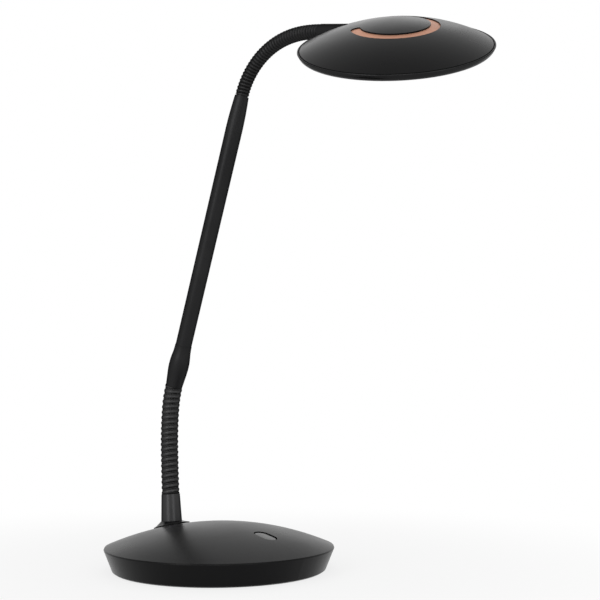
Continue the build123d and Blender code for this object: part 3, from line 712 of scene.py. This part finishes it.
class LAMP_OT_goosenecks(bpy.types.Operator):
    """Build the coil skins of both goosenecks"""

    bl_idname = "lamp.goosenecks"
    bl_label = "Build goosenecks"

    def execute(self, context):
        size = sizes()
        arm = arm_direction()
        coil_neck("lower_", size.lower_crest, size.lower_root, size.lower_gap, arm, True)
        coil_neck("upper_", size.upper_crest, size.upper_root, size.upper_gap, arm, False)
        return {"FINISHED"}


# ---------------------------------------------------------------- stem
FLARE_EDGE = 0.35 * MM  # radius that rounds the collar's lip
FLARE_BORE = 5.3 * MM  # radius of the hole for the stem
FLARE_SINK = 0.05 * MM  # how far the collar's underside dips into the dome
FLARE_TUCK = (-0.4 * MM, 0.3 * MM)  # from the collar's top edge, in and up, inside the socket
FLARE_SWEEP = 1.2  # power of its hollow sweep
LOWER_RING = (0.1 * MM, 1.3 * MM)  # end ring over the lower coil's turns, and its width
UPPER_RING = (0.48 * MM, 1.0 * MM)  # from the last joint to the upper end ring, and its width
RING_DEPTH = 2.2  # from a ring's crest to its bore, in radii of its bead


def stem_frame():
    """The stem's foot on the dome, its axis and the forward direction square to it."""
    points = chain("lower_")[0]
    axis = tangents_from(points, arm_direction(), True)[0]
    forward = unit(np.cross((0.0, 1.0, 0.0), axis))
    return points[0] - axis * sizes().socket_top, axis, forward


def dome_height(radius):
    """Height of the base's dome at a distance from its axis: crown - ball + sqrt(ball^2 - d^2).

    The ball's radius is (rim^2 + rise^2) / (2 rise).
    """
    crown, rim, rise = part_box("base_shell")[1][2], sizes().rim_radius, sizes().dome_rise
    ball = (rim**2 + rise**2) / (2 * rise)
    return crown - ball + np.sqrt(ball**2 - radius**2)


def stem_flare():
    """A collar that sweeps out from the stem to a thin lip that follows the dome.

    Along each spoke the height over the stem's foot is lip + (top - lip) x (1 - u)^1.2, where u
    runs from 0 at the stem to 1 at the lip's radius, and the lip's own height is the dome's there
    plus its stand.
    """
    size = sizes()
    origin, axis, forward = stem_frame()
    angle = circle(96)
    spoke = spokes(angle, forward, np.cross(axis, forward))

    def ground(radius):
        """Heights along the axis at which spokes of a radius meet the dome, in three steps."""
        height = np.zeros(len(angle))
        for _ in range(3):
            point = origin + radius * spoke + height[:, None] * axis
            height += (dome_height(np.hypot(point[:, 0], point[:, 1])) - point[:, 2]) / axis[2]
        return height

    reach = size.flare_foot - FLARE_EDGE
    lip = ground(reach) + size.flare_stand
    u = np.linspace(0, 1, 22)[:, None]
    turn = np.linspace(0, np.pi / 2, 6)[1:, None]
    radius = np.concatenate(
        [
            [[size.flare_top + FLARE_TUCK[0]]],
            size.flare_top + (reach - size.flare_top) * u,
            reach + FLARE_EDGE * np.sin(turn),
            [[size.flare_foot], [FLARE_BORE], [FLARE_BORE]],
        ]
    )
    top = np.full((1, len(angle)), size.flare_height + FLARE_TUCK[1])
    height = np.concatenate(
        [
            top,
            lip + (size.flare_height - lip) * (1 - u) ** FLARE_SWEEP,
            lip - FLARE_EDGE * (1 - np.cos(turn)),
            np.stack([ground(size.flare_foot), ground(FLARE_BORE)]) - FLARE_SINK,
            top,
        ]
    )
    across = np.broadcast_to(radius, height.shape)
    rows = origin + height[..., None] * axis + across[..., None] * spoke
    return surface("stem_flare", rows, shell_finish(), close_rows=True, sharp=50.0)


class LAMP_OT_stem(bpy.types.Operator):
    """Build the stem's flared collar and the rings at the coils' ends"""

    bl_idname = "lamp.stem"
    bl_label = "Build stem"

    def execute(self, context):
        flare = stem_flare()
        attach(flare, "base")
        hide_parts("stem_collar")
        size = sizes()
        over, width = LOWER_RING
        axis = stem_frame()[1]
        foot = chain("lower_")[0][0] - axis * size.lower_gap
        self.ring("lower_end_ring", foot, axis, size.lower_crest + over, width, "base")
        past, width = UPPER_RING
        points = chain("upper_")[0]
        last = tangents_from(points, arm_direction(), False)[-1]
        tip = points[-1] + last * past
        self.ring("upper_end_ring", tip, -last, size.upper_crest, width, "ferrule")
        return {"FINISHED"}

    def ring(self, name, origin, axis, radius, width, body):
        """A half-round bead: its outline is a half circle on a flat band."""
        turn = np.linspace(-np.pi / 2, np.pi / 2, 9)
        bead = width / 2
        outline = [(radius - bead + bead * math.cos(t), bead + bead * math.sin(t)) for t in turn]
        inner = radius - RING_DEPTH * bead
        outline += [(inner, width), (inner, 0.0)]
        piece = turned(name, origin, axis, outline, coat_finish(), segments=72)
        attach(piece, body)


# ---------------------------------------------------------------- button and screws
CAP_CROWN = 0.25 * MM  # how much the button's middle stands over its edge
CAP_EDGE = 0.8 * MM  # radius that rounds its edge
CAP_SIDE = 1.2 * MM  # how far down its side its outline is measured
CAP_DEPTH = 4.2 * MM
CAP_TOP = 0.2 * MM  # points this near the top give its middle
CAP_CROSSING = 6.0  # how fast the outline's centre crosses from one round end to the other
BASE_SCREW, BEZEL_SCREW = 3.0 * MM, 2.2 * MM  # radii of the screws' heads
SCREW_COUNT = 4  # in each of those nodes
SCREW_HEAD = 1.1 * MM  # height of a head
HEAD_CROWN, RECESS = 0.35, 0.55  # shares of that height
CROSS_WIDE, CROSS_LONG, CROSS_SOFT = 0.13, 0.5, 0.05  # shares of the head's radius
CROSS_FACING = (0.3, 0.9, 0.1)  # turns the crosses


def smooth_step(value, low, high):
    """0 below low, 1 above high, and 3 t^2 - 2 t^3 between them."""
    t = np.clip((value - low) / (high - low), 0, 1)
    return t * t * (3 - 2 * t)


def button_frame():
    """The button's outward axis, its long direction and the middle of its top."""
    joint = next(j for j in frame["joints"] if j["child"] == "button")
    out = -unit(joint["axis"])
    long = unit(np.cross((0.0, 1.0, 0.0), out))
    points = node_points("power_button")
    top = (points @ out).max()
    cap = points[points @ out > top - CAP_TOP]
    middle = (cap.max(0) + cap.min(0)) / 2
    return out, long, middle + out * (top - middle @ out)


def power_cap():
    """A slot-shaped cap: offsets of the line between the centres of its two round ends.

    Each ring of points lies at one distance d from that line; height = -crown x (d / radius)^2,
    less the rounding of the edge, edge - sqrt(edge^2 - (d - inner)^2).
    """
    out, long, middle = button_frame()
    across = np.cross(out, long)
    points = node_points("power_button") - middle
    cap = points[points @ out > -CAP_SIDE]
    radius = np.abs(cap @ across).max()
    reach = (cap @ long).max() - radius
    inner = radius - CAP_EDGE
    angle = circle(96)
    ends = reach * np.clip(np.cos(angle) * CAP_CROSSING, -1, 1)
    spoke = spokes(angle, long, across)
    flat = np.linspace(0, inner, 14)
    turn = np.linspace(0, np.pi / 2, 7)[1:]
    under = [radius, radius * 0.5, 0.0]
    distance = np.concatenate([flat, inner + CAP_EDGE * np.sin(turn), under])
    drop = -CAP_CROWN * np.minimum(distance / radius, 1) ** 2
    drop[len(flat) : -len(under)] -= CAP_EDGE * (1 - np.cos(turn))
    drop[-len(under) :] = -CAP_DEPTH
    line = middle + ends[:, None] * long
    rows = line + distance[:, None, None] * spoke + drop[:, None, None] * out
    return surface("power_cap", rows, button_finish(), sharp=50.0)


def spot_centres(node, count):
    """Centres of equal pieces set evenly round a circle in one node, by angle about its middle."""
    points = node_points(node)
    middle = points.mean(0)
    axis = thin_axis(points)
    first = unit(points[0] - middle)
    first = unit(first - axis * (first @ axis))
    second = np.cross(axis, first)
    angle = np.arctan2((points - middle) @ second, (points - middle) @ first)
    number = np.round(angle / (2 * np.pi / count)).astype(int) % count
    return np.array([points[number == n].mean(0) for n in range(count)])


def screw_heads(name, node, radius, outward):
    """Pan heads with a crossed recess, one closed grid each.

    Height = crown x (1 - (d / radius)^2), less the recess where either bar of the cross lies.
    """
    centres = spot_centres(node, SCREW_COUNT)
    axis = unit(outward)
    side = unit(np.cross(axis, CROSS_FACING))
    across = np.cross(axis, side)
    face = (node_points(node) @ axis).max()
    angle = circle(72)
    shares = [np.linspace(0, 0.62, 22), np.linspace(0.66, 1.0, 8), [1.0, 0.0]]  # fine at the cross
    distance = np.concatenate(shares) * radius
    x = distance[:, None] * np.cos(angle)
    y = distance[:, None] * np.sin(angle)
    wide, long, soft = CROSS_WIDE * radius, CROSS_LONG * radius, CROSS_SOFT * radius

    def bar(u, v):
        """1 inside a bar that is long in v, falling softly to 0 at its edges."""
        beside = smooth_step(np.abs(u), wide - soft, wide + soft)
        past = smooth_step(np.abs(v), long - soft, long + soft)
        return (1 - beside) * (1 - past)

    recess = np.maximum(bar(x, y), bar(y, x))
    crown = SCREW_HEAD * HEAD_CROWN * (1 - (distance / radius) ** 2)
    height = crown[:, None] - SCREW_HEAD * HEAD_CROWN - recess * SCREW_HEAD * RECESS
    height[-2:] = -SCREW_HEAD
    shape = x[..., None] * side + y[..., None] * across + height[..., None] * axis
    rows = [centre + axis * (face - centre @ axis) + shape for centre in centres]
    return surface(name, np.concatenate(rows), zinc_finish(), copies=SCREW_COUNT)


class LAMP_OT_small_parts(bpy.types.Operator):
    """Build the button's cap and the screws' heads"""

    bl_idname = "lamp.small_parts"
    bl_label = "Build small parts"

    def execute(self, context):
        cap = power_cap()
        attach(cap, "button")
        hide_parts("power_button")
        heads = screw_heads("base_screw_heads", "base_screws", BASE_SCREW, (0, 0, -1))
        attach(heads, "base")
        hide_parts("base_screws")
        heads = screw_heads("bezel_screw_heads", "bezel_screws", BEZEL_SCREW, -head_axis())
        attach(heads, "head")
        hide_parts("bezel_screws")
        return {"FINISHED"}


# ---------------------------------------------------------------- head
# Points are (distance from the head's axis, height over its rim plane).
HEAD_SEGMENTS = 288
LIP = np.array([[69.6, -0.05], [67.91, -2.99], [64.95, -4.65]]) * MM  # its arc's start, bulge, end
BEAD_CENTRE, BEAD_RADIUS = np.array([69.3, 0.25]) * MM, 0.6 * MM
BEAD_TURN = (150, -14)  # degrees over which the bead runs
TRIM_LIFT = 0.08 * MM  # how far the trim stands off the lip
TRIM_INNER = np.array([[64.6, -4.3], [67.0, -2.4], [68.6, -0.3]]) * MM
DOME_SLOPE = 0.537  # of the head's dome at its edge
# Painted shadow: radii and stand of the dark ring that stands in for the shadow gap between the
# head's dome and its trim
SHADOW_GAP_RADII = np.array([68.1, 68.15, 68.75, 68.8]) * MM
SHADOW_GAP_STAND = np.array([-0.15, 0.03, 0.03, -0.15]) * MM  # over that slope
CROWN_REACH, CROWN_TOP, CROWN_BALL = 24.6 * MM, 18.43 * MM, 118.2 * MM
CROWN_SKIRT = 0.2 * MM  # how far the cap's side dips under its edge


def head_axis():
    """The head's upward axis: the flat window's thin direction."""
    axis = thin_axis(node_points("diffuser"))
    return axis * np.sign(axis[2])


def head_centre():
    """The middle of the head's rim plane, above the middle of its flat window."""
    points = node_points("diffuser")
    return (points.min(0) + points.max(0)) / 2 + head_axis() * sizes().window_depth


def lip_arc(count, lift):
    """Points down the head's rounded lip, an arc from its rim to its flat face, moved out."""
    start, bulge, end = LIP
    rows = 2 * np.array([bulge - start, end - start])
    squares = [bulge @ bulge - start @ start, end @ end - start @ start]
    centre = np.linalg.solve(rows, squares)
    first, last = (math.atan2(y, x) for x, y in (start - centre, end - centre))
    reach = np.linalg.norm(start - centre) + lift
    angle = np.linspace(first, last, count)
    return centre + reach * np.stack([np.cos(angle), np.sin(angle)], -1)


def head_ring(name, profile, material, segments=HEAD_SEGMENTS, **options):
    """A profile turned round the head's axis."""
    return turned(name, head_centre(), head_axis(), profile, material, segments, **options)


def head_trim():
    """A bead round the head's edge and down its lip: part of a small circle, then the lip's arc."""
    turn = np.radians(np.linspace(*BEAD_TURN, 14))
    top = BEAD_CENTRE + BEAD_RADIUS * np.stack([np.cos(turn), np.sin(turn)], -1)
    profile = np.concatenate([top, lip_arc(24, TRIM_LIFT)[1:], TRIM_INNER])
    return head_ring("head_trim", profile, trim_finish())


def head_shadow_gap():
    """A thin ring of painted shadow, dull and near black, that fills the gap between the head's
    dome and its trim where a shadow would fall.
    """
    height = (sizes().head_rim - SHADOW_GAP_RADII) * DOME_SLOPE + SHADOW_GAP_STAND
    return head_ring("head_shadow_gap", np.stack([SHADOW_GAP_RADII, height], -1), shadow_gap_finish())


def head_crown():
    """A smooth cap over the crown inside the inlay: crown - ball + sqrt(ball^2 - d^2)."""
    radius = np.concatenate([np.linspace(0, CROWN_REACH, 26), [CROWN_REACH, 0]])
    height = CROWN_TOP - CROWN_BALL + np.sqrt(CROWN_BALL**2 - radius**2)
    height[-2:] = height[-3] - CROWN_SKIRT
    profile = np.stack([radius, height], -1)[::-1]
    return head_ring("head_crown", profile, shell_finish(), segments=96, close_rows=False)


class LAMP_OT_head_edge(bpy.types.Operator):
    """Build the trim and a dark ring of painted shadow round the head's edge, and the cap on its
    crown
    """

    bl_idname = "lamp.head_edge"
    bl_label = "Build head edge"

    def execute(self, context):
        for piece, slot in (
            (head_trim(), "gloss_black"),
            # the dark ring is painted shadow
            (head_shadow_gap(), "pad_rubber"),
            (head_crown(), "black_plastic"),
        ):
            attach(piece, "head")
        return {"FINISHED"}


# ---------------------------------------------------------------- finishes on the frame
COATED_PIECES = ("stem_collar", "lower_coupler", "arm_tube", "upper_coupler", "head_ferrule")
SCREWS = ("base_screws", "board_screws", "bezel_screws", "plate_screws")
ZINC_PIECES = SCREWS + ("stem_washer", "stem_nut", "swivel_clip")
SMALL_MOULDINGS = ("power_inlet", "switch_body", "switch_plunger")

# Finish, pieces, linear colour, roughness, grain, bump, and what else it needs
PLAIN_FINISHES = (
    ("plate enamel", ["base_plate"], (0.02, 0.02, 0.022), 0.45, 900.0, 0.15, {}),
    ("pad foam", ["base_pad"], (0.022, 0.022, 0.022), 0.85, 700.0, 0.5, {}),
    ("cast iron", ["base_ballast"], (0.09, 0.09, 0.092), 0.6, 500.0, 0.5, {"metallic": 0.7}),
    ("inlet plastic", SMALL_MOULDINGS, (0.012, 0.012, 0.013), 0.38, 900.0, 0.1, {}),
    ("solder mask", ["control_board", "led_strip"], (0.012, 0.09, 0.03), 0.3, 900.0, 0.1, {}),
    ("lead jacket", ["arm_lead"], (0.012, 0.012, 0.013), 0.5, 900.0, 0.1, {}),
    ("phosphor", ["led_chips"], (0.75, 0.6, 0.12), 0.4, 900.0, 0.1, {}),
    ("frosted window", ["diffuser"], (0.78, 0.78, 0.75), 0.45, 1800.0, 0.1, {"spread": 0.04}),
    ("clear guide", ["light_guide"], (0.8, 0.85, 0.85), 0.08, 300.0, 0.02, {"spread": 0.02}),
    ("white film", ["reflector_sheet"], (0.85, 0.85, 0.85), 0.5, 900.0, 0.05, {}),
    ("rolled aluminium", ["back_plate"], (0.6, 0.6, 0.61), 0.35, 700.0, 0.1, {"metallic": 1.0}),
)


def paint(names, material):
    """Give nodes of the frame one material."""
    for name in names:
        mesh = frame["nodes"][name].data
        mesh.materials.clear()
        mesh.materials.append(material)


class LAMP_OT_finishes(bpy.types.Operator):
    """Give every rigid piece of the frame its finish"""

    bl_idname = "lamp.finishes"
    bl_label = "Apply finishes"

    def execute(self, context):
        paint(["base_shell", "head_shell"], shell_finish())
        paint(["stem_socket"], stem_finish())
        paint(COATED_PIECES, coat_finish())
        paint(["head_bezel"], trim_finish())
        paint(["power_button"], button_finish())
        look = {"spread": 0.05, "metallic": 0.7}
        copper = coated("copper tone", colours().inlay, 0.5, 2600.0, 0.1, **look)
        paint(["copper_inlay"], copper)
        paint(ZINC_PIECES, zinc_finish())
        for name, pieces, colour, roughness, grain, bump, more in PLAIN_FINISHES:
            paint(pieces, coated(name, colour, roughness, grain, bump, **more))
        return {"FINISHED"}


# ---------------------------------------------------------------- stage
CAMERA_PLACE = (0.5915, -0.5426, 0.1325)
CAMERA_AIM = (-0.67867, 0.72831, 0.09895)  # direction
CAMERA_LENS, CAMERA_SENSOR = 60.0, 36.0  # millimetres
CAMERA_NEAR = 0.02
FLOOR_REACH = 8.0  # from the middle to each side
SHADOW_SHOWN = (0.12, 0.5)  # distances from the middle between which the floor turns white
SHADOW_WHITE = 0.8  # share of white at the first of them
SKY_TOP, SKY_LEVEL = 0.45, 0.45  # from this height up the sky's light falls to this level
LIGHT_AIM = (0.03, 0, 0.2)
LIGHTS = (  # name, place, width, watts
    ("left_light", (0.28, -1.72, 0.62), 0.9, 8.0),
    ("right_light", (1.76, -0.37, 0.62), 0.9, 4.0),
    ("front_light", (0.99, -0.91, 1.34), 0.5, 3.5),
    ("back_light", (-0.7, 0.9, 1.7), 1.1, 1.5),
)


def aimed(direction):
    """The turn that points an object's -Z along a direction."""
    return Vector(direction).to_track_quat("-Z", "Y").to_euler()


def seen_rays(tree):
    """1 for camera, glossy and transmission rays, which see the backdrop itself, else 0."""
    path = tree.nodes.new("ShaderNodeLightPath").outputs
    straight = calculated(tree, "MAXIMUM", path["Is Camera Ray"], path["Is Glossy Ray"])
    return calculated(tree, "MAXIMUM", straight, path["Is Transmission Ray"])


class LAMP_OT_stage(bpy.types.Operator):
    """Set the camera, the floor, the backdrop and the studio light"""

    bl_idname = "lamp.stage"
    bl_label = "Set the stage"

    def execute(self, context):
        scene = context.scene
        scene.view_settings.view_transform = "Standard"
        camera = bpy.data.objects.new("camera", bpy.data.cameras.new("camera"))
        scene.collection.objects.link(camera)
        camera.data.sensor_width = CAMERA_SENSOR
        camera.data.lens = CAMERA_LENS
        camera.data.clip_start = CAMERA_NEAR
        camera.location = CAMERA_PLACE
        camera.rotation_euler = aimed(CAMERA_AIM)
        scene.camera = camera
        self.floor()
        self.sky(scene)
        self.lights(scene)
        return {"FINISHED"}

    def floor(self):
        """A flat square. Rays that see it straight or in a gloss find it white but for a shadow."""
        across = np.linspace(-FLOOR_REACH, FLOOR_REACH, 25)
        y, x = np.meshgrid(across, across, indexing="ij")
        points = np.stack([x, y, np.zeros_like(x)], -1)
        material, tree, shader = node_tree("studio floor")
        colour = tuple(colours().floor) + (1,)
        fill(tree, shader, {"Base Color": colour, "Roughness": 0.9, "Specular IOR Level": 0.1})
        reach = place(tree, "ShaderNodeVectorMath", {0: object_vector(tree)}, operation="LENGTH")
        smooth = {"interpolation_type": "SMOOTHSTEP"}
        share = stretched(tree, reach.outputs["Value"], *SHADOW_SHOWN, SHADOW_WHITE, 1.0, **smooth)
        white = place(tree, "ShaderNodeEmission", {"Color": (1, 1, 1, 1), "Strength": 1.0})
        factor = calculated(tree, "MULTIPLY", seen_rays(tree), share)
        inputs = {0: factor, 1: shader.outputs["BSDF"], 2: white.outputs["Emission"]}
        both = place(tree, "ShaderNodeMixShader", inputs).outputs["Shader"]
        fill(tree, tree.nodes["Material Output"], {"Surface": both})
        floor = surface("studio_floor", points, material, close_columns=False)

    def sky(self, scene):
        """White where it is seen; its light falls off with height."""
        world = bpy.data.worlds.new("studio")
        world.use_nodes = True
        scene.world = world
        tree = world.node_tree
        above = tree.nodes.new("ShaderNodeTexCoord").outputs["Generated"]
        height = place(tree, "ShaderNodeSeparateXYZ", {"Vector": above}).outputs["Z"]
        level = stretched(tree, height, 0.0, SKY_TOP, 1.0, SKY_LEVEL)
        strength = mixed(tree, seen_rays(tree), level, 1.0, data_type="FLOAT")
        fill(tree, tree.nodes["Background"], {"Color": (1, 1, 1, 1), "Strength": strength})

    def lights(self, scene):
        """Soft discs of light aimed at the lamp."""
        for name, spot, size, power in LIGHTS:
            data = bpy.data.lights.new(name, "AREA")
            data.shape = "DISK"
            data.size = size
            data.energy = power
            lamp = bpy.data.objects.new(name, data)
            lamp.location = spot
            lamp.rotation_euler = aimed(Vector(LIGHT_AIM) - Vector(spot))
            scene.collection.objects.link(lamp)


class LAMP_PT_panel(bpy.types.Panel):
    """Lists the lamp's operators and settings"""

    bl_label = "Gooseneck desk lamp"
    bl_idname = "LAMP_PT_panel"
    bl_space_type = "VIEW_3D"
    bl_region_type = "UI"
    bl_category = "Lamp"

    def draw(self, context):
        for operator in OPERATORS:
            self.layout.operator(operator.bl_idname)
        for values in (context.scene.lamp_sizes, context.scene.lamp_colours):
            for name in values.__annotations__:
                self.layout.prop(values, name)


OPERATORS = (
    LAMP_OT_stage,
    LAMP_OT_goosenecks,
    LAMP_OT_stem,
    LAMP_OT_small_parts,
    LAMP_OT_head_edge,
    LAMP_OT_finishes,
)
CLASSES = (LampSizes, LampColours, *OPERATORS, LAMP_PT_panel)


def register():
    for cls in CLASSES:
        bpy.utils.register_class(cls)
    bpy.types.Scene.lamp_sizes = PointerProperty(type=LampSizes)
    bpy.types.Scene.lamp_colours = PointerProperty(type=LampColours)


def unregister():
    del bpy.types.Scene.lamp_colours
    del bpy.types.Scene.lamp_sizes
    for cls in reversed(CLASSES):
        bpy.utils.unregister_class(cls)


def main():
    register()
    bpy.ops.lamp.stage()
    bpy.ops.lamp.goosenecks()
    bpy.ops.lamp.stem()
    bpy.ops.lamp.small_parts()
    bpy.ops.lamp.head_edge()
    bpy.ops.lamp.finishes()


if __name__ == "__main__":
    main()
